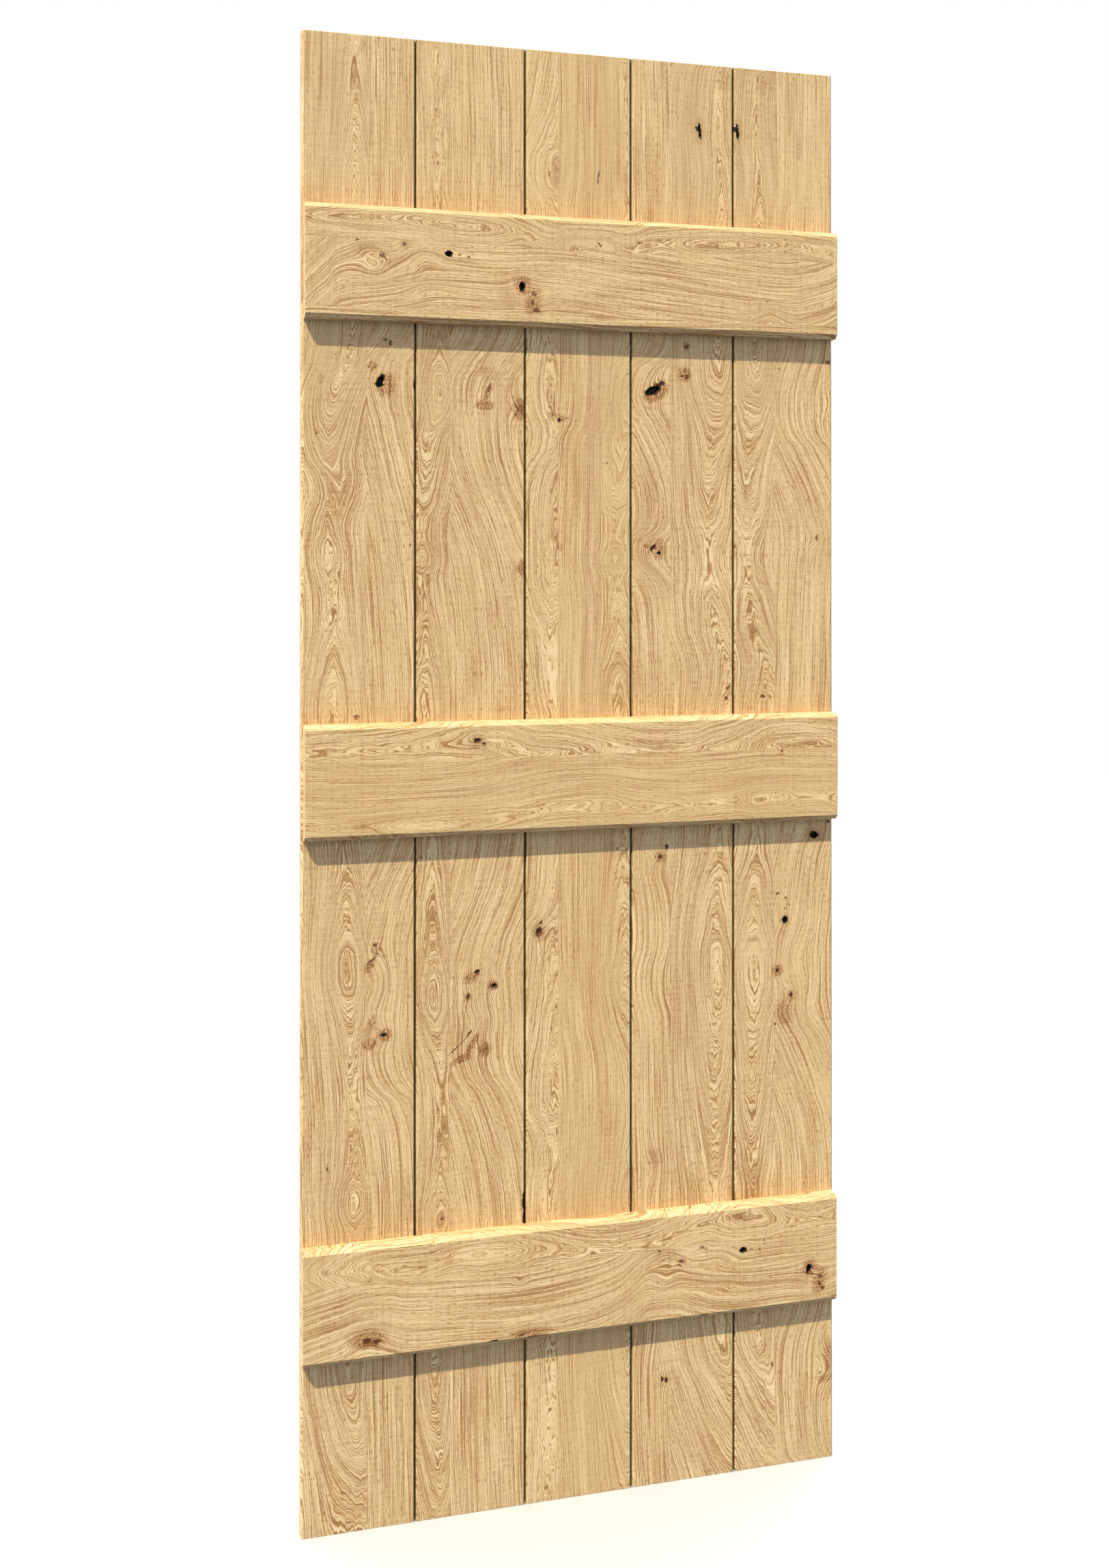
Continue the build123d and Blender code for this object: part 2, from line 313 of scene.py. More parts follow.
FIGURES["board_5"] = make_figure(seed=53, staves=[
    Stave(291, 9, 0.0, moved_line(FLAMED_PITH, 57), FLAMED_RISE, rise_reach=FLAMED_REACH, contrast=1.4),
    Stave(FAR, 30, -0.02, {0: 600, 1981: 600}, {
        0: -45, 130: -26, 229: -46, 381: -50, 460: -45, 520: -30, 600: 0, 640: 15, 700: 20, 772: 15, 850: 6,
        914: -10, 1070: -40, 1240: -46, 1280: -48, 1317: -50, 1350: -44, 1400: -25, 1450: 0, 1500: 20,
        1540: 15, 1600: 0, 1752: -8, 1981: -8,
    }),
], swells=moved(FLAMED_SWELLS, 57) + [
    (357, 1317, 14, 16, -9), (386, 1508, 22, 30, -14), (320, 716, 22, 36, 12), (307, 772, 12, 14, -4, -0.6),
    (296, 701, 10, 12, 7), (316, 664, 9, 12, -6), (305, 640, 14, 16, 7), (352, 891, 18, 16, -8),
    (378, 130, 20, 36, -20), (345, 640, 16, 26, 10),
], stains=[
    (234, 1892, 7, 14, 0.3, 0.8), (277, 1106, 3, 3, 0.7, 0.6), (273, 1091, 3, 2.6, 0.7, 0.6),
    (352, 890, 11, 8, 0.6, 0.7), (307, 772, 7, 8, 0.3, 0.8), (296, 701, 7, 7, 0.9, 0.8),
    (316, 664, 5, 7, 0.9, 0.7), (307, 640, 12, 16, 0.6, 0.8), (376, 140, 8, 22, 0.5, 0.8),
    (370, 115, 12, 6, 0.5, 0.8), (330, 1872, 4, 14, 0.3, 0.9), (372, 1568, 6, 3, 0.5, 0.7),
    (272, 1962, 6, 14, 0.35, 0.9), (357, 1317, 3, 5, 0.4, 0.8),
], darks=[
    (235, 1890, 1.6, 10, 1, 0.35, 0.12), (232, 1893, 3.4, 3, 1, 0.35), (307, 772, 4, 4.6, 1, 0.3),
    (352, 891, 6, 4.4, 1, 0.35), (374, 909, 3, 1.4, 0.7), (295, 810, 1.8, 1.6, 0.8),
    (308, 803, 2.2, 1.4, 0.6), (313, 793, 1.4, 2, 0.5), (307, 788, 1.2, 1.2, 0.7), (295, 701, 2, 2, 0.95),
    (316, 665, 2.2, 3, 0.85), (292, 625, 1.6, 1.6, 0.8), (357, 1316, 1, 3.4, 0.8),
    (273, 1091, 1.6, 1.4, 0.9), (375, 1568, 2, 1.4, 0.7), (287, 143, 1.2, 3.4, 0.7, 0.5, 0.4),
    (298, 1556, 0.9, 1.2, 0.7),
], pits=[(235, 1890, 1.4, 9, 5), (307, 772, 3.4, 4, 6), (352, 891, 5, 3.6, 6)])

FIGURES["top_ledge"] = make_figure(seed=67, staves=[
    Stave(1617, 30, 0.04, {-381: 1400, 381: 1400}, {
        -381: 0, -150: 4, 100: 0, 260: 5, 381: 0,
    }),
    Stave(1707, 30, 0.0, {-381: 1450, 381: 1450}, {
        -381: -52, -350: -22, -330: -4, -290: 4, -250: 10, -187: 20, -120: 20, -50: 24, 50: 16, 150: 8,
        250: 0, 300: -2, 340: 4, 381: 20,
    }),
    Stave(FAR, 7, 0.0, {
        -381: 1733, -240: 1736, -180: 1731, -100: 1728, -50: 1712, 5: 1706, 60: 1708, 120: 1722, 200: 1724,
        280: 1728, 381: 1714,
    }, {
        -381: 8, -330: 14, -270: 18, -225: 26, -170: 28, -110: 16, -60: 2, -35: 10, 5: 44, 50: 12, 80: 4,
        150: 12, 210: 18, 260: 14, 330: 8, 381: 14,
    }, rise_reach=22),
], swells=[
    (1692, -296, 11, 18, 9), (1687, -277, 7, 9, 5), (1702, -246, 8, 10, 8), (1688, -222, 17, 24, 13),
    (1692, -187, 9, 11, 2, -0.8), (1666, -286, 14, 20, -13), (1652, -86, 15, 20, 4, -0.7),
    (1634, -70, 12, 16, -7), (1628, 278, 16, 22, 13), (1720, 90, 8, 14, 5), (1645, -215, 9, 34, 7),
], stains=[
    (1693, -298, 9, 14, 0.35, 0.8), (1686, -277, 5, 6, 0.6, 0.7), (1702, -246, 5, 6, 0.4, 0.8),
    (1654, -84, 10, 10, 0.9, 0.8), (1634, -70, 16, 9, 0.75, 0.8, -0.4), (1622, -66, 4, 7, 0.6, 0.7),
    (1709, -13, 3, 6, 0.5, 0.8), (1722, 82, 3, 4, 0.6, 0.7), (1718, 95, 3, 4, 0.4, 0.8),
    (1730, -180, 5, 26, 0.4, 0.9), (1718, 205, 4, 40, 0.35, 0.9), (1640, -105, 12, 12, 0.25, 0.9),
], darks=[
    (1692.5, -187, 3.6, 4.2, 1, 0.25), (1653, -86, 6, 3.6, 1, 0.3, -0.2), (1705, -310, 1.8, 1.8, 0.7),
    (1686, -277, 2, 2.6, 0.6), (1702, -247, 2, 2.4, 0.6), (1692, -173, 1, 1, 0.8),
    (1690, -160, 1, 1.6, 0.6), (1703, -155, 1, 1.2, 0.6), (1643, -69, 2.2, 3.2, 0.6),
    (1632, -71, 3.4, 2, 0.7), (1622, -66, 2, 3.6, 0.7), (1713, 19, 1.2, 1.2, 0.8),
    (1717, 23, 1.4, 1.4, 0.8), (1714, 25.5, 1.4, 1.4, 0.7), (1721, 82, 1.2, 1.4, 0.6),
    (1649, 273, 0.9, 1.6, 0.6),
], pits=[(1692.5, -187, 3, 3.4, 6), (1653, -86, 5, 2.8, 6, -0.2)])

FIGURES["middle_ledge"] = make_figure(seed=71, staves=[
    Stave(1018, 10, 0.04, {
        -381: 935, -215: 930, -100: 938, 17: 947, 100: 942, 200: 945, 282: 949, 381: 943,
    }, {
        -381: 14, -300: 17, -215: 28, -120: 20, -60: 15, -20: 15, 17: 19, 60: 13, 120: 8, 180: 6, 230: 9,
        282: 21, 330: 11, 381: 16,
    }, rise_reach=26, contrast=0.65),
    Stave(FAR, 8, 0.0, {
        -381: 1030, -250: 1032, -148: 1041, -60: 1020, 50: 1018, 150: 1014, 200: 1021, 320: 1019, 381: 1018,
    }, {
        -381: 2, -220: 8, -148: 18, -80: 22, 0: 14, 60: 0, 130: -4, 190: 0, 250: 16, 320: 30, 381: 24,
    }, contrast=1.05),
], swells=[
    (1041, -148, 11, 14, 3, -0.7), (1015, 295, 5, 8, 4), (985, 0, 20, 120, 7), (947, 17, 8, 13, -5),
    (949, 282, 9, 13, -5),
], stains=[
    (1040, -147, 8, 11, 0.5, 0.8), (1014, 295, 3, 3, 0.7, 0.7), (975, 40, 9, 330, 0.11, 0.9),
    (1008, 120, 5, 300, 0.11, 0.9), (1000, -200, 6, 200, 0.09, 0.9),
], darks=[
    (1041, -148, 3.4, 4.2, 0.85, 0.4), (1037, -138, 2, 2, 0.7), (946, -58, 1, 1.4, 0.8),
    (1015, 295, 1.2, 1.8, 0.6), (955, 284, 1.4, 1.4, 0.5),
], pits=[(1041, -148, 2.6, 3.2, 2)])

FIGURES["bottom_ledge"] = make_figure(seed=83, staves=[
    Stave(331, 30, 0.0, {-381: 60, 381: 60}, {
        -381: 10, -330: 20, -290: 26, -240: 18, -160: 14, -90: 12, -20: 16, 40: 26, 80: 48, 110: 60,
        160: 50, 235: 36, 300: 36, 335: 34, 381: 38,
    }),
    Stave(FAR, 7, 0.0, {
        -381: 352, -300: 352, -240: 345, -160: 352, -60: 350, 60: 338, 140: 352, 240: 364, 320: 350,
        381: 352,
    }, {
        -381: -30, -345: -4, -300: 12, -250: 20, -190: 20, -130: 21, -60: 12, 0: 4, 60: 2, 120: 6, 180: 10,
        240: 24, 290: 12, 340: 4, 381: 8,
    }),
], swells=[
    (321, 122, 11, 17, 9), (312, 143, 7, 9, 5), (328, 175, 8, 10, 8), (315, 200, 17, 24, 13),
    (318, 235, 9, 11, 2, -0.8), (285, 120, 16, 20, -12), (280, 335, 15, 20, 4, -0.7),
    (262, 352, 12, 16, -7), (258, -297, 16, 26, 10), (310, -88, 6, 10, -6), (240, -72, 8, 26, 7),
    (272, 205, 9, 36, 7),
], stains=[
    (322, 120, 9, 14, 0.3, 0.8), (312, 143, 5, 6, 0.6, 0.7), (328, 175, 5, 6, 0.4, 0.8),
    (281, 337, 10, 10, 0.9, 0.8), (262, 352, 15, 9, 0.75, 0.8, -0.4), (259, -295, 10, 20, 1, 0.8),
    (241, -72, 5, 24, 0.9, 0.8), (335, -294, 2, 4, 0.7, 0.7), (364, 240, 6, 24, 0.4, 0.9),
    (352, -350, 3, 5, 0.5, 0.8), (268, 320, 12, 12, 0.25, 0.9),
], darks=[
    (317.5, 235, 3.4, 4, 1, 0.25), (280, 335, 5.6, 3.6, 1, 0.3, -0.2), (330, 111, 1.4, 1.6, 0.7),
    (312, 143, 2, 2.4, 0.6), (328, 174, 1.6, 2, 0.6), (317, 248, 1, 1.4, 0.6), (315, 261, 1, 1.6, 0.6),
    (328, 267, 1, 1.4, 0.6), (268, 353, 2, 3.2, 0.6), (258, 351, 3, 2, 0.7), (251, 356, 2, 3.6, 0.7),
    (257, -297, 3.4, 4.4, 0.85, 0.7), (255, -285, 2.6, 5, 0.8, 0.7), (235, -125, 1.4, 6, 1, 0.35),
    (239, -86, 1.8, 4, 0.6),
], pits=[(317.5, 235, 2.8, 3.2, 6), (280, 335, 4.6, 2.8, 6, -0.2), (235, -125, 1.2, 5, 2)])

# Sections of the boards and ledges

def across_axis(along):
    """The axis across the grain."""
    return X_AXIS if along == Z_AXIS else Z_AXIS


def sides(outline):
    """Each point of a closed outline with the next."""
    return zip(outline, outline[1:] + outline[:1])


def neighbours(outline):
    """Each point of a closed outline between its neighbours."""
    return zip(outline[-1:] + outline[:-1], outline, outline[1:] + outline[:1])


def signed_area(outline):
    """Twice the area inside an outline, positive where it turns left."""
    return sum(a[0] * b[1] - a[1] * b[0] for a, b in sides(outline))


def end_outline(node, along):
    """The outline of a CAD node's lower end, in mm, as (across, deep) points."""
    across = across_axis(along)
    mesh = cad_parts[node].data
    low = min(v.co[along] for v in mesh.vertices)
    edges = set()
    for polygon in mesh.polygons:
        points = [mesh.vertices[i].co for i in polygon.vertices]
        if all(p[along] <= low + SAME_PLACE for p in points):
            edges.update(sides([(round(p[across] / MM, 3), round(p.y / MM, 3)) for p in points]))
    following = {a: b for a, b in edges if (b, a) not in edges}
    start = min(following)
    outline = [start]
    while following[outline[-1]] != start:
        outline.append(following[outline[-1]])
    if signed_area(outline) < 0:
        outline.reverse()
    return [Vector(p) for p in outline]


def eased(outline):
    """An outline with each corner rounded by a short curve."""
    points = []
    for before, corner, after in neighbours(outline):
        back, on = before - corner, after - corner
        if abs(back.normalized().dot(on.normalized())) > STRAIGHT_COSINE:
            continue
        start = corner + back.normalized() * min(CORNER_EASE, back.length * CORNER_SHARE)
        end = corner + on.normalized() * min(CORNER_EASE, on.length * CORNER_SHARE)
        for i in range(EASE_POINTS + 1):
            t = i / EASE_POINTS
            points.append(start * (1 - t) ** 2 + corner * 2 * t * (1 - t) + end * t * t)
    return points


def spread_lines(low, high, step, fine):
    """Places from low to high about a step apart, with the fine places in among them."""
    fine = [f for f in fine if low + END_GAP < f < high - END_GAP]
    count = max(1, math.ceil((high - low) / step))
    even = [low + (high - low) * i / count for i in range(1, count)]
    lines = sorted(fine + [e for e in even if all(abs(e - f) > step * EVEN_GAP for f in fine)])
    kept = [low]
    for place in lines:
        if place - kept[-1] > LEAST_GAP:
            kept.append(place)
    return kept + [high]


def divided(outline, step, fine):
    """An outline whose long sides are divided, with the fine places on the shown and hidden faces."""
    points = []
    for a, b in sides(outline):
        points.append(a)
        length = (b - a).length
        if length <= step:
            continue
        if abs(b[1] - a[1]) < FLAT_SIDE:
            low, high = min(a[0], b[0]), max(a[0], b[0])
            places = spread_lines(low, high, step, fine)[1:-1]
            ratios = [(place - low) / (high - low) for place in places]
            if a[0] > b[0]:
                ratios = [1 - ratio for ratio in reversed(ratios)]
        else:
            ratios = [place / length for place in spread_lines(0, length, step, [])[1:-1]]
        points += [a.lerp(b, ratio) for ratio in ratios]
    return points


def outward(outline):
    """At each point of an outline, the direction out of the wood, longer at a corner."""
    normals = []
    for before, point, after in neighbours(outline):
        turned = [Vector((way.y, -way.x)).normalized() for way in (point - before, after - point)]
        middle = (turned[0] + turned[1]).normalized()
        normals.append(middle / max(MITRE_LIMIT, middle.dot(turned[0])))
    return normals


# Pits and nail seats

def smooth(start, end, value):
    """0 before the start, 1 past the end, and an S-curve between."""
    t = min(1.0, max(0.0, (value - start) / (end - start)))
    return t * t * (3 - 2 * t)


def pit_depth(pits, across, along):
    """How deep the pits are at a place on the shown face."""
    deepest = 0.0
    ragged = PIT_RAGGED * noise.noise(Vector((across, along, 0)) * PIT_RAGGED_SCALE)
    for pit in pits:
        rise = along - pit.along
        reach = math.hypot((across - pit.across + pit.lean * rise) / pit.reach_across,
                           rise / pit.reach_along)
        deepest = max(deepest, pit.depth * smooth(PIT_RIM, PIT_FLOOR, reach + ragged))
    return deepest


def nail_nodes():
    """The names of the nodes that hold the nails."""
    return [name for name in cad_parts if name.endswith("_nails")]


def nail_heads():
    """The place and half size of each nail's head, in mm."""
    heads = []
    for name in nail_nodes():
        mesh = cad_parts[name].data
        back = max(v.co.y for v in mesh.vertices)
        corners = sorted({(round(v.co.x / MM, 2), round(v.co.z / MM, 2))
                          for v in mesh.vertices if v.co.y > back - SAME_PLACE})
        while corners:
            x, z = corners[0]
            near = [c for c in corners if abs(c[0] - x) < HEAD_REACH and abs(c[1] - z) < HEAD_REACH]
            corners = [c for c in corners if c not in near]
            xs, zs = zip(*near)
            heads.append(Head((min(xs) + max(xs)) / 2, (min(zs) + max(zs)) / 2,
                              (max(xs) - min(xs)) / 2, (max(zs) - min(zs)) / 2))
    return heads


def seat_lines(centre, half):
    """Places at the bottom and top of a nail seat's two walls."""
    inside = half + SEAT_GAP
    return [centre + side * edge for side in (-1, 1) for edge in (inside, inside + SEAT_WALL)]


def in_seat(heads, across, along):
    """Whether a place on the hidden face is inside the walls of a nail's seat."""
    wall = SEAT_GAP + SEAT_WALL / 2
    return any(abs(across - head.across) < head.half_across + wall
               and abs(along - head.along) < head.half_along + wall for head in heads)


def pit_lines(centre, half):
    """Places a fine step apart, on both sides of a pit's centre."""
    count = max(2, round(2 * half / FINE_STEP))
    return [centre - half + 2 * half * i / count for i in range(count + 1)]


def fine_lines(pits, heads):
    """The fine places for pits and nail seats, across and along the grain."""
    across = [line for head in heads for line in seat_lines(head.across, head.half_across)]
    along = [line for head in heads for line in seat_lines(head.along, head.half_along)]
    for pit in pits:
        slant = abs(pit.lean) * pit.reach_along
        across += pit_lines(pit.across, (pit.reach_across + slant) * FINE_MARGIN)
        along += pit_lines(pit.along, pit.reach_along * FINE_MARGIN)
    return across, along


# Meshes of the boards and ledges

def section_rows(low_end, high_end, fine):
    """Each section's place along the grain, and its inset to ease the ends."""
    turns = [math.radians(90 * i / EASE_POINTS) for i in range(EASE_POINTS + 1)]
    ease = [(EASE * (1 - math.cos(turn)), EASE * (1 - math.sin(turn))) for turn in turns]
    middle = spread_lines(low_end + EASE, high_end - EASE, ROW_STEP, fine)[1:-1]
    rows = [(low_end + step, inset) for step, inset in ease]
    rows += [(place, 0.0) for place in middle]
    return rows + [(high_end - step, inset) for step, inset in reversed(ease)]


def tube_faces(size, count):
    """The faces of a closed tube: a count of rings, with so many points each."""
    faces = []
    for row in range(count - 1):
        low, high = row * size, (row + 1) * size
        for i in range(size):
            j = (i + 1) % size
            faces.append((low + i, low + j, high + j, high + i))
    faces.append(tuple(reversed(range(size))))
    faces.append(tuple(range((count - 1) * size, count * size)))
    return faces


def wooden_mesh(node, along, pits, heads):
    """A finely divided mesh of a CAD board or ledge, with eased edges, pits and nail seats."""
    low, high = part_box(node)
    back = high.y / MM
    axis = across_axis(along)
    heads = [head for head in heads if low[axis] / MM < head.across < high[axis] / MM]
    fine_across, fine_along = fine_lines(pits, heads)
    outline = divided(eased(end_outline(node, along)), BOARD_STEP, fine_across)
    normals = outward(outline)
    rows = section_rows(low[along] / MM, high[along] / MM, fine_along)
    vertices = []
    for place, inset in rows:
        for point, normal in zip(outline, normals):
            across, deep = point - normal * inset
            if normal.y < SHOWN_NORMAL:
                stretched = Vector((across, place * PLANE_WAVE_STRETCH, back))
                wave = 0.5 + 0.5 * noise.noise(stretched / PLANE_WAVE_LENGTH)
                deep += PLANE_WAVE * wave + pit_depth(pits, across, place)
            elif normal.y > HIDDEN_NORMAL and in_seat(heads, across, place):
                deep -= SEAT_DEPTH
            spot = (across, deep, place) if along == Z_AXIS else (place, deep, across)
            vertices.append([c * MM for c in spot])
    faces = tube_faces(len(outline), len(rows))
    if along == X_AXIS:
        faces = [tuple(reversed(face)) for face in faces]
    mesh = bpy.data.meshes.new(node + "_oak")
    mesh.from_pydata(vertices, [], faces)
    mesh.shade_smooth()
    mesh.set_sharp_from_angle(angle=math.radians(SHARP_ANGLE))
    return mesh


# Node helpers

class Nodes:
    """Adds nodes to one tree, each joined to plain values or to other nodes' outputs."""

    def __init__(self, tree):
        self.tree = tree

    def add(self, kind, inputs=(), out=0, **settings):
        """Add one shader node, and return one of its outputs."""
        node = self.tree.nodes.new("ShaderNode" + kind)
        for name, value in settings.items():
            setattr(node, name, value)
        for socket, value in dict(inputs).items():
            if isinstance(value, bpy.types.NodeSocket):
                self.tree.links.new(value, node.inputs[socket])
            else:
                node.inputs[socket].default_value = value
        return node.outputs[out] if node.outputs else None

    def math(self, operation, *values, clamp=False):
        return self.add("Math", enumerate(values), operation=operation, use_clamp=clamp)

    def times(self, a, b, clamp=False):
        return self.math("MULTIPLY", a, b, clamp=clamp)

    def vector(self, operation, *values):
        out = "Value" if operation == "DOT_PRODUCT" else "Vector"
        return self.add("VectorMath", enumerate(values), out, operation=operation)

    def join(self, x, y, z=0.0):
        return self.add("CombineXYZ", {0: x, 1: y, 2: z})

    def split(self, vector):
        return self.add("SeparateXYZ", {0: vector}).node.outputs

    def noise(self, place, detail, roughness=0.5, dimensions="3D"):
        """Noise from 0 to 1 whose coarsest grain is one unit of the place."""
        inputs = {"Vector": place, "Scale": 1.0, "Detail": detail, "Roughness": roughness}
        return self.add("TexNoise", inputs, noise_dimensions=dimensions)

    def cloud(self, place, width, length, detail):
        """Noise from 0 to 1 with a width across the grain and a length along it."""
        return self.noise(self.vector("MULTIPLY", place, (1 / width, 1 / length, 1)), detail)

    def about(self, value, weight, middle=0.5):
        """A weight times how far a value is above its middle."""
        return self.math("MULTIPLY_ADD", value, weight, -weight * middle)

    def ramp(self, value, low, high, to_low=0.0, to_high=1.0, smoothed=True):
        """A value from low to high, turned into another range and kept within it."""
        inputs = {"Value": value, "From Min": low, "From Max": high, "To Min": to_low, "To Max": to_high}
        kind = "SMOOTHSTEP" if smoothed else "LINEAR"
        return self.add("MapRange", inputs, interpolation_type=kind)

    def mix(self, factor, a, b, blend="MIX"):
        """Colour a where the factor is 0, and b blended over it where it is 1."""
        inputs = {0: factor, 6: a, 7: b}
        return self.add("Mix", inputs, 2, data_type="RGBA", blend_type=blend, clamp_factor=True)

    def choose(self, factor, a, b):
        """Number a where the factor is 0, and b where it is 1."""
        return self.add("Mix", {0: factor, 2: a, 3: b}, 0, data_type="FLOAT")

    def curve(self, value, line, low_end, high_end):
        """A smooth curve through a line's values at its places, read at a place."""
        lowest = min(line.values())
        span = max(max(line.values()) - lowest, 1.0)
        place = self.ramp(value, low_end, high_end, smoothed=False)
        out = self.add("FloatCurve", {1: place})
        curve = out.node.mapping.curves[0]
        points = [((p - low_end) / (high_end - low_end), (v - lowest) / span) for p, v in line.items()]
        curve.points[0].location = points[0]
        curve.points[-1].location = points[-1]
        for point in points[1:-1]:
            curve.points.new(*point)
        out.node.mapping.update()
        return self.math("MULTIPLY_ADD", out, span, lowest)


def node_group(name, inputs):
    """An empty node group: its nodes, its inputs and the socket for its sum."""
    tree = bpy.data.node_groups.new(name, "ShaderNodeTree")
    for label, kind in inputs + [("Sum", "Float")]:
        tree.interface.new_socket(label, in_out="INPUT", socket_type="NodeSocket" + kind)
    tree.interface.new_socket("Sum", in_out="OUTPUT", socket_type="NodeSocketFloat")
    entry = tree.nodes.new("NodeGroupInput")
    leave = tree.nodes.new("NodeGroupOutput")
    return Nodes(tree), entry.outputs, leave.inputs["Sum"]


FEATURE_INPUTS = [("Place", "Vector"), ("Centre", "Vector"), ("Reach", "Vector"), ("Lean", "Float")]


def offset_nodes(nodes, entry):
    """A place's offset across the grain from a feature, and its squared distance in reaches."""
    offset = nodes.split(nodes.vector("SUBTRACT", entry["Place"], entry["Centre"]))
    across = nodes.math("MULTIPLY_ADD", entry["Lean"], offset[1], offset[0])
    scaled = nodes.vector("DIVIDE", nodes.join(across, offset[1]), entry["Reach"])
    return across, nodes.vector("DOT_PRODUCT", scaled, scaled)


def swell_group():
    """Adds one swell to the height of the rings."""
    inputs = FEATURE_INPUTS + [("Height", "Float"), ("Spread", "Float")]
    nodes, entry, leave = node_group("swell", inputs)
    across, square = offset_nodes(nodes, entry)
    bell = nodes.math("EXPONENT", nodes.times(square, -1.0))
    lift = nodes.math("MULTIPLY_ADD", entry["Spread"], across, entry["Height"])
    nodes.tree.links.new(nodes.math("MULTIPLY_ADD", lift, bell, entry["Sum"]), leave)
    return nodes.tree


def spot_group():
    """Takes the stronger of one spot's mask and the masks before it."""
    inputs = FEATURE_INPUTS + [("Soft", "Float"), ("Strength", "Float")]
    nodes, entry, leave = node_group("spot", inputs)
    _, square = offset_nodes(nodes, entry)
    inner = nodes.math("SUBTRACT", 1.0, entry["Soft"])
    outer = nodes.math("ADD", 1.0, entry["Soft"])
    mask = nodes.times(nodes.ramp(square, outer, inner), entry["Strength"])
    nodes.tree.links.new(nodes.math("MAXIMUM", mask, entry["Sum"]), leave)
    return nodes.tree


SWELL = swell_group()
SPOT = spot_group()


def add_feature(nodes, group, place, feature, total, **more):
    """One more swell or spot, joined to the total of those before it."""
    inputs = {"Place": place, "Centre": (feature.across, feature.along, 0),
              "Reach": (feature.reach_across, feature.reach_along, 1),
              "Lean": feature.lean, "Sum": total, **more}
    return nodes.add("Group", inputs, node_tree=group)


def add_spots(nodes, place, spots):
    """The strongest mask of several spots."""
    total = 0.0
    for spot in spots:
        grown = spot._replace(reach_across=spot.reach_across * SPOT_GROWTH,
                              reach_along=spot.reach_along * SPOT_GROWTH)
        total = add_feature(nodes, SPOT, place, grown, total, Soft=spot.soft, Strength=spot.strength)
    return total


# Surfaces of the oak and of the nails' iron
BUMP_HEIGHT = 0.2 * MM
OAK_BUMP = 0.5
OAK_SPECULAR = 0.30
IRON_BLACK = (0.030, 0.028, 0.027, 1)
IRON_BLOOM = (0.075, 0.045, 0.028, 1)
IRON_BUMP = 0.6
IRON_METALLIC = 0.8


def new_material(name):
    """An empty material, its nodes, and the place in the leaf's frame in millimetres."""
    material = bpy.data.materials.new(name)
    material.use_nodes = True
    material.node_tree.nodes.clear()
    nodes = Nodes(material.node_tree)
    where = nodes.add("TexCoord", out="Object")
    return material, nodes, nodes.vector("MULTIPLY", where, (1 / MM,) * 3)


def add_shader(nodes, height, bump, inputs):
    """A material's shader, with its bump and output."""
    normal = nodes.add("Bump", {"Strength": bump, "Distance": BUMP_HEIGHT, "Height": height})
    shader = nodes.add("BsdfPrincipled", {"Normal": normal, **inputs})
    nodes.add("OutputMaterial", {"Surface": shader})


# Clouds that shift the growth: width across the grain, length along it and detail, and their shifts.
# The flame fades away from a pith
DRIFT = (80, 260, 2)
DRIFT_SHIFT = 7.0
RIPPLE = (9, 80, 1)
RIPPLE_SHIFT = 3.2
FLAME = (9, 40, 1)
FLAME_SHIFT = 9.0
FLAME_REACH = 24.0
STAVE_SHIFT = 37.0

# How far the figure slants for each millimetre below the shown face
SLANT_ACROSS = 0.4
SLANT_ALONG = 1.6


def fade(nodes, square, reach):
    """1 at a pith, fading over a reach, from the squared distance."""
    return nodes.math("EXPONENT", nodes.math("DIVIDE", square, -reach ** 2))


def stave_rings(nodes, stave, across, along, deep, flame, ends):
    """The distance from a stave's pith, less the rise that fades away from the pith."""
    pith = nodes.curve(along, stave.pith, *ends)
    rise = nodes.curve(along, stave.rise, *ends)
    off = nodes.math("SUBTRACT", across, pith)
    depth = nodes.math("SUBTRACT", stave.depth, deep)
    square = nodes.times(off, off)
    radius = nodes.math("SQRT", nodes.math("MULTIPLY_ADD", depth, depth, square))
    lowered = nodes.times(rise, fade(nodes, square, stave.rise_reach))
    total = nodes.math("SUBTRACT", radius, lowered)
    return nodes.math("MULTIPLY_ADD", flame, fade(nodes, square, FLAME_REACH), total)


def rings(nodes, figure, place, deep, ends):
    """The millimetres of wood grown at a place, and the tone and contrast of the stave there."""
    across, along, _ = nodes.split(place)
    drift = nodes.about(nodes.cloud(place, *DRIFT), DRIFT_SHIFT)
    ripple = nodes.about(nodes.cloud(place, *RIPPLE), RIPPLE_SHIFT)
    flame = nodes.about(nodes.cloud(place, *FLAME), FLAME_SHIFT)
    ragged = nodes.math("ADD", drift, ripple)
    grown, tone, contrast, start = 0.0, 0.0, 1.0, -FAR
    for number, stave in enumerate(figure.staves):
        total = stave_rings(nodes, stave, across, along, deep, flame, ends)
        for swell in figure.swells:
            if start < swell.across <= stave.edge:
                total = add_feature(nodes, SWELL, place, swell, total,
                                    Height=-swell.height, Spread=swell.spread)
        total = nodes.math("ADD", total, nodes.math("ADD", ragged, STAVE_SHIFT * number))
        beyond = nodes.math("GREATER_THAN", across, start)
        grown = nodes.choose(beyond, grown, total)
        tone = nodes.choose(beyond, tone, stave.tone)
        contrast = nodes.choose(beyond, contrast, stave.contrast)
        start = stave.edge
    return grown, tone, contrast


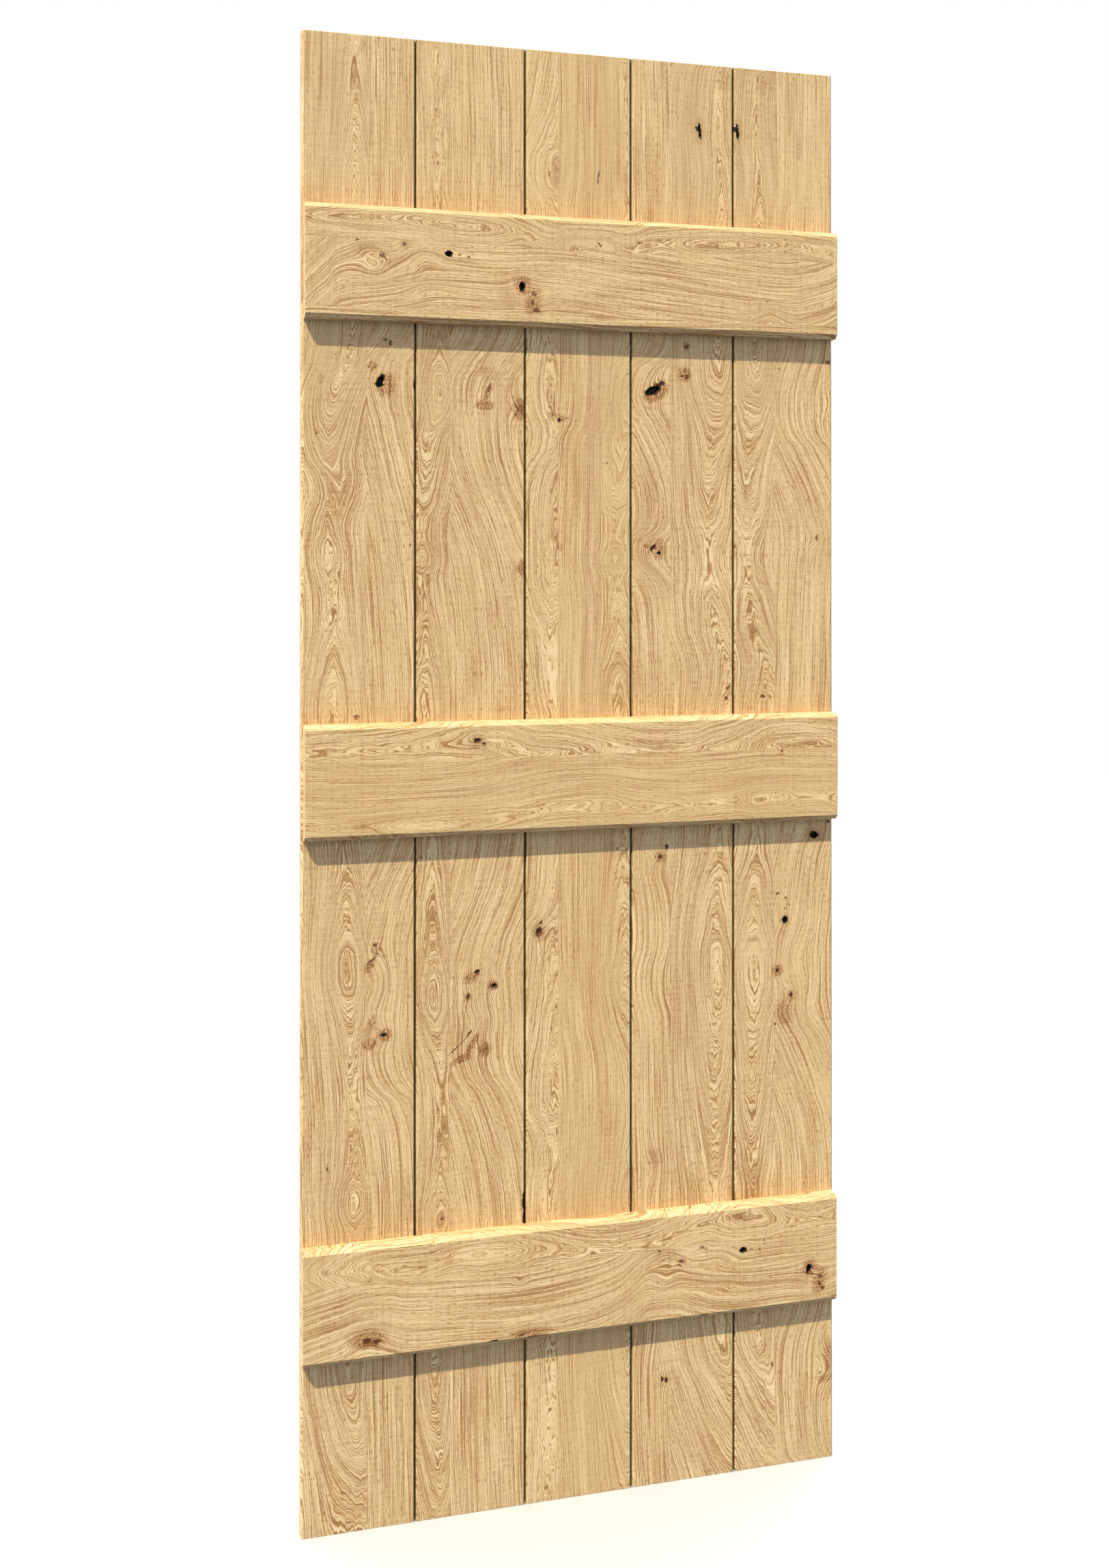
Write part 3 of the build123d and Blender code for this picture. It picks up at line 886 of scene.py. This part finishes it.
# Lines of the oak: width across the growth, length along the grain, detail and roughness
GRAIN = (0.95, 260, 2, 0.75)
FIBRE = (0.7, 90, 1, 0.6)
BAND = (6, 600, 1, 0.6)
PORES = (0.55, 8, 0, 0.5)
RING_EDGES = (2.6, 180, 1, 0.5)
RING_WIDTH = 3.4
RING_WANDER = 3.0
RING_SHARPNESS = 3.0
SEED_STEP = 613.0
CLOUD = (60, 170, 2)
HATCH = (30, 1.4, 1)
PLAINNESS = (45, 210, 1)
FIBRE_HEIGHT = 0.4
PORE_HEIGHT = -0.6

# The lines fade between these heights, at the boards' tops, to a share of their contrast
PLAIN_TOPS = (1700.0, 1800.0, 1.0, 0.72)

# Colours of the oak, from its darkest lines to its palest, each at its lightness
OAK_SHADES = [(0.05, (0.245, 0.132, 0.052, 1)), (0.27, (0.342, 0.219, 0.103, 1)),
              (0.48, (0.451, 0.331, 0.183, 1)), (0.66, (0.507, 0.387, 0.229, 1)),
              (1.00, (0.556, 0.444, 0.284, 1))]


def oak_wood(nodes, figure, place, deep, ends):
    """The oak's colour without its knots, its grain, and the height of the grain for the bump."""
    _, along, _ = nodes.split(place)
    grown, tone, contrast = rings(nodes, figure, place, deep, ends)
    shifted = nodes.math("ADD", along, SEED_STEP * figure.seed)

    def streaks(width, length, detail, roughness):
        line = nodes.join(nodes.math("DIVIDE", grown, width), nodes.math("DIVIDE", shifted, length))
        return nodes.noise(line, detail, roughness, "2D")

    grain, fibre, band = streaks(*GRAIN), streaks(*FIBRE), streaks(*BAND)
    pores = nodes.ramp(streaks(*PORES), 0.62, 0.72)
    wander = nodes.times(band, RING_WANDER)
    phase = nodes.math("FRACT", nodes.math("MULTIPLY_ADD", grown, 1 / RING_WIDTH, wander))
    ring = nodes.math("POWER", nodes.math("SUBTRACT", 1.0, phase), RING_SHARPNESS)
    ring = nodes.times(ring, nodes.ramp(streaks(*RING_EDGES), 0.25, 0.62))

    # How much each layer lightens the oak, and the value at which it leaves the oak as it is
    layers = ((grain, 1.35, 0.5), (fibre, 1.00, 0.5), (band, 0.24, 0.5),
              (nodes.cloud(place, *CLOUD), 0.26, 0.5), (nodes.cloud(place, *HATCH), 0.30, 0.5),
              (ring, -0.46, 0.15), (pores, -0.28, 0.05))
    lines = 0.0
    for layer, weight, middle in layers:
        lines = nodes.math("ADD", lines, nodes.about(layer, weight, middle))
    plain = nodes.ramp(nodes.cloud(place, *PLAINNESS), 0.36, 0.62, 1.05, 1.45)
    contrast = nodes.times(contrast, plain)
    contrast = nodes.times(contrast, nodes.ramp(along, *PLAIN_TOPS))
    light = nodes.math("MULTIPLY_ADD", lines, contrast, nodes.math("SUBTRACT", 0.5, tone))
    colour = nodes.add("ValToRGB", {0: light})
    elements = colour.node.color_ramp.elements
    while len(elements) < len(OAK_SHADES):
        elements.new(0.5)
    for element, (position, shade) in zip(elements, OAK_SHADES):
        element.position = position
        element.color = shade
    height = nodes.math("MULTIPLY_ADD", fibre, FIBRE_HEIGHT, grain)
    return colour, grain, nodes.math("MULTIPLY_ADD", pores, PORE_HEIGHT, height)


# Knots, with wandering outlines and mottled stains
SPOT_GROWTH = 1.2
WANDER = (6.0, 7.0, 0.0)
WANDER_SCALE = 0.22
MOTTLE_SIZE = 2.2
DARK_GAIN = 1.3
STAIN_TINT = (0.42, 0.195, 0.065, 1)
KNOT_DEEP = (0.070, 0.022, 0.004, 1)
KNOT_BLACK = (0.004, 0.002, 0.001, 1)


def knotted(nodes, colour, grain, figure, face_place):
    """The oak's colour with its figure's stains and dark knots over it."""
    inputs = {"Vector": face_place, "Scale": WANDER_SCALE, "Detail": 3.0}
    wander = nodes.add("TexNoise", inputs, "Color")
    wander = nodes.vector("MULTIPLY_ADD", wander, WANDER, [-reach / 2 for reach in WANDER])
    ragged = nodes.vector("ADD", face_place, wander)
    stain = add_spots(nodes, ragged, figure.stains)
    dark = add_spots(nodes, ragged, figure.darks)
    mottle = nodes.noise(nodes.vector("MULTIPLY", ragged, (1 / MOTTLE_SIZE,) * 3), 3.0, 0.65)
    stain = nodes.times(stain, nodes.ramp(grain, 0.70, 0.30, 0.4, 1.1))
    stain = nodes.times(stain, nodes.ramp(mottle, 0.38, 0.66, 0.3, 2.0), clamp=True)
    colour = nodes.mix(stain, colour, STAIN_TINT, "MULTIPLY")
    colour = nodes.mix(nodes.times(dark, DARK_GAIN, clamp=True), colour, KNOT_DEEP)
    return nodes.mix(nodes.ramp(dark, 0.80, 1.0), colour, KNOT_BLACK)


# Joints between the boards, darkened partly as dirt and partly as painted shade: the dark strip's half
# width over its depth, and how many boards from the leaf's middle the joints end
BOARD_COUNT = 5
BOARD_COVER = (cad_box[1][0] - cad_box[0][0]) / MM / BOARD_COUNT
OUTER_EDGE = 2.4
SEAM_WIDTHS = (1.6, 2.4, 2.6, 1.5)
SEAM_DEPTHS = (0.5, 1.8)
SEAM_DIRT_AND_SHADE_TINT = (0.37, 0.34, 0.26, 1)

# Painted light: a warmer tint above each ledge stands for light thrown back by the ledge's top. It starts
# out of sight behind the ledge, and it also tints the boards' hidden face
PAINTED_BOUNCE_HEIGHT = 50.0
PAINTED_BOUNCE_START = 100.0
PAINTED_BOUNCE_TINT = (1.08, 0.985, 0.92, 1)


def board_tones(nodes, colour, x, deep, along):
    """Oak darkened inside the V-joints between the boards, partly as dirt and partly as painted shade, and
    with painted warm bounce light above each ledge.
    """
    shifted = nodes.math("ADD", x, BOARD_COVER * (BOARD_COUNT / 2 - 1))
    apart = nodes.math("PINGPONG", shifted, BOARD_COVER / 2)
    inside = nodes.math("LESS_THAN", apart, nodes.ramp(deep, *SEAM_WIDTHS))
    inner = nodes.math("LESS_THAN", nodes.math("ABSOLUTE", x), OUTER_EDGE * BOARD_COVER)
    joint_dirt_and_shade = nodes.times(nodes.times(inside, inner), nodes.ramp(deep, *SEAM_DEPTHS))
    # Dirt and painted shade inside the V-joints, where shade falls
    colour = nodes.mix(joint_dirt_and_shade, colour, SEAM_DIRT_AND_SHADE_TINT, "MULTIPLY")
    # Painted light: warm bounce from each ledge's top, painted onto the boards just above it
    warm = 0.0
    for ledge in ("bottom_ledge", "middle_ledge", "top_ledge"):
        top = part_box(ledge)[1].z / MM
        started = nodes.math("GREATER_THAN", along, top - PAINTED_BOUNCE_START)
        above = nodes.times(nodes.ramp(along, top + PAINTED_BOUNCE_HEIGHT, top), started)
        warm = nodes.math("MAXIMUM", warm, above)
    return nodes.mix(warm, colour, PAINTED_BOUNCE_TINT, "MULTIPLY")


def oak_material(name, figure, along_axis, front, ends):
    """Oiled oak whose grain runs along one axis, with a piece's own figure and knots."""
    material, nodes, where = new_material(name)
    x, y, z = nodes.split(where)
    across, along = (x, z) if along_axis == Z_AXIS else (z, x)
    deep = nodes.math("SUBTRACT", y, front)
    place = nodes.join(nodes.math("MULTIPLY_ADD", deep, SLANT_ACROSS, across),
                       nodes.math("MULTIPLY_ADD", deep, SLANT_ALONG, along))
    colour, grain, height = oak_wood(nodes, figure, place, deep, ends)
    colour = knotted(nodes, colour, grain, figure, nodes.join(across, along))
    if along_axis == Z_AXIS:
        colour = board_tones(nodes, colour, x, deep, along)
    rough = nodes.ramp(height, 0.2, 1.2, 0.62, 0.50)
    add_shader(nodes, height, OAK_BUMP,
               {"Base Color": colour, "Roughness": rough, "Specular IOR Level": OAK_SPECULAR})
    return material


def iron_material():
    """Black forged iron, mottled, with a brown bloom."""
    material, nodes, where = new_material("nail_iron")
    mottle = nodes.noise(where, 3.0, 0.6)
    colour = nodes.mix(nodes.ramp(mottle, 0.45, 0.65), IRON_BLACK, IRON_BLOOM)
    rough = nodes.ramp(mottle, 0.3, 0.7, 0.45, 0.7)
    add_shader(nodes, mottle, IRON_BUMP,
               {"Base Color": colour, "Roughness": rough, "Metallic": IRON_METALLIC})
    return material


# Pieces

def make_wooden_piece(node, figure, along, heads):
    """Replaces a CAD board or ledge with its detailed oak piece."""
    low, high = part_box(node)
    mesh = wooden_mesh(node, along, figure.pits, heads)
    piece = bpy.data.objects.new(node + "_oak", mesh)
    bpy.context.scene.collection.objects.link(piece)
    weighted = piece.modifiers.new("face weights", "WEIGHTED_NORMAL")
    weighted.keep_sharp = True
    ends = (low[along] / MM, high[along] / MM)
    mesh.materials.append(oak_material(node + "_oak", figure, along, low.y / MM, ends))
    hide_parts(node)
    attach(piece, "root")


# Stage, light and camera

def make_floor():
    """A plain pale floor that glows a little and throws no light back at the leaf."""
    material = bpy.data.materials.new("floor")
    material.use_nodes = True
    shader = material.node_tree.nodes["Principled BSDF"]
    settings = {"Base Color": FLOOR_COLOUR, "Roughness": 0.9, "Specular IOR Level": 0.1,
                "Emission Color": WHITE, "Emission Strength": FLOOR_GLOW}
    for label, value in settings.items():
        shader.inputs[label].default_value = value
    half = FLOOR_SIDE * MM / 2
    mesh = bpy.data.meshes.new("floor")
    corners = [(-half, -half, 0), (half, -half, 0), (half, half, 0), (-half, half, 0)]
    mesh.from_pydata(corners, [], [(0, 1, 2, 3)])
    mesh.materials.append(material)
    floor = bpy.data.objects.new("floor", mesh)
    bpy.context.scene.collection.objects.link(floor)
    floor.visible_diffuse = False
    floor.visible_glossy = False
    floor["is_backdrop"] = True


def make_world():
    """Soft light, dimmer from below and brighter on the hidden side, before a white background."""
    world = bpy.data.worlds.new("studio")
    bpy.context.scene.world = world
    world.use_nodes = True
    world.node_tree.nodes.clear()
    nodes = Nodes(world.node_tree)
    _, depth, height = nodes.split(nodes.add("TexCoord", out="Generated"))
    fill = nodes.mix(nodes.ramp(height, *FILL_HEIGHTS), FILL_BELOW, FILL_ABOVE)
    fill = nodes.mix(nodes.ramp(depth, *FILL_DEPTHS), fill, FILL_BEHIND)
    seen = nodes.add("LightPath", out="Is Camera Ray")
    colour = nodes.mix(seen, fill, WHITE)
    background = nodes.add("Background", {"Color": colour, "Strength": 1.0})
    nodes.add("OutputWorld", {"Surface": background})


def make_key_light():
    """A warm sun from high on the left, which lights the leaf and not the floor."""
    light = bpy.data.lights.new("key", "SUN")
    light.energy = KEY_STRENGTH
    light.color = KEY_COLOUR
    light.angle = math.radians(KEY_SPREAD)
    key = bpy.data.objects.new("key", light)
    bpy.context.scene.collection.objects.link(key)
    aim = Vector((KEY_RIGHT, 1.0, -KEY_DOWN))
    key.rotation_euler = aim.to_track_quat("-Z", "Y").to_euler()
    key.location = -aim
    lit = bpy.data.collections.new("lit by key")
    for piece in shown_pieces():
        lit.objects.link(piece)
    key.light_linking.receiver_collection = lit


def make_camera():
    """The photograph's camera."""
    data = bpy.data.cameras.new("camera")
    data.lens = FOCAL_LENGTH
    data.sensor_width = SENSOR_SIZE
    data.shift_y = -FRAME_DROP
    camera = bpy.data.objects.new("camera", data)
    bpy.context.scene.collection.objects.link(camera)
    camera.location = Vector(CAMERA_PLACE) * MM
    turn = (math.radians(90 + CAMERA_TILT_UP), 0, math.radians(-CAMERA_TURN_RIGHT))
    camera.rotation_euler = Euler(turn)
    bpy.context.scene.camera = camera


def main():
    """Builds the scene."""
    heads = nail_heads()
    iron = iron_material()
    for node, figure in FIGURES.items():
        if node.startswith("board"):
            make_wooden_piece(node, figure, Z_AXIS, heads)
        else:
            make_wooden_piece(node, figure, X_AXIS, [])
    for name in nail_nodes():
        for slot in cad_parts[name].material_slots:
            slot.material = iron
    make_floor()
    make_world()
    make_key_light()
    make_camera()
    bpy.context.scene.view_settings.view_transform = "Standard"


main()
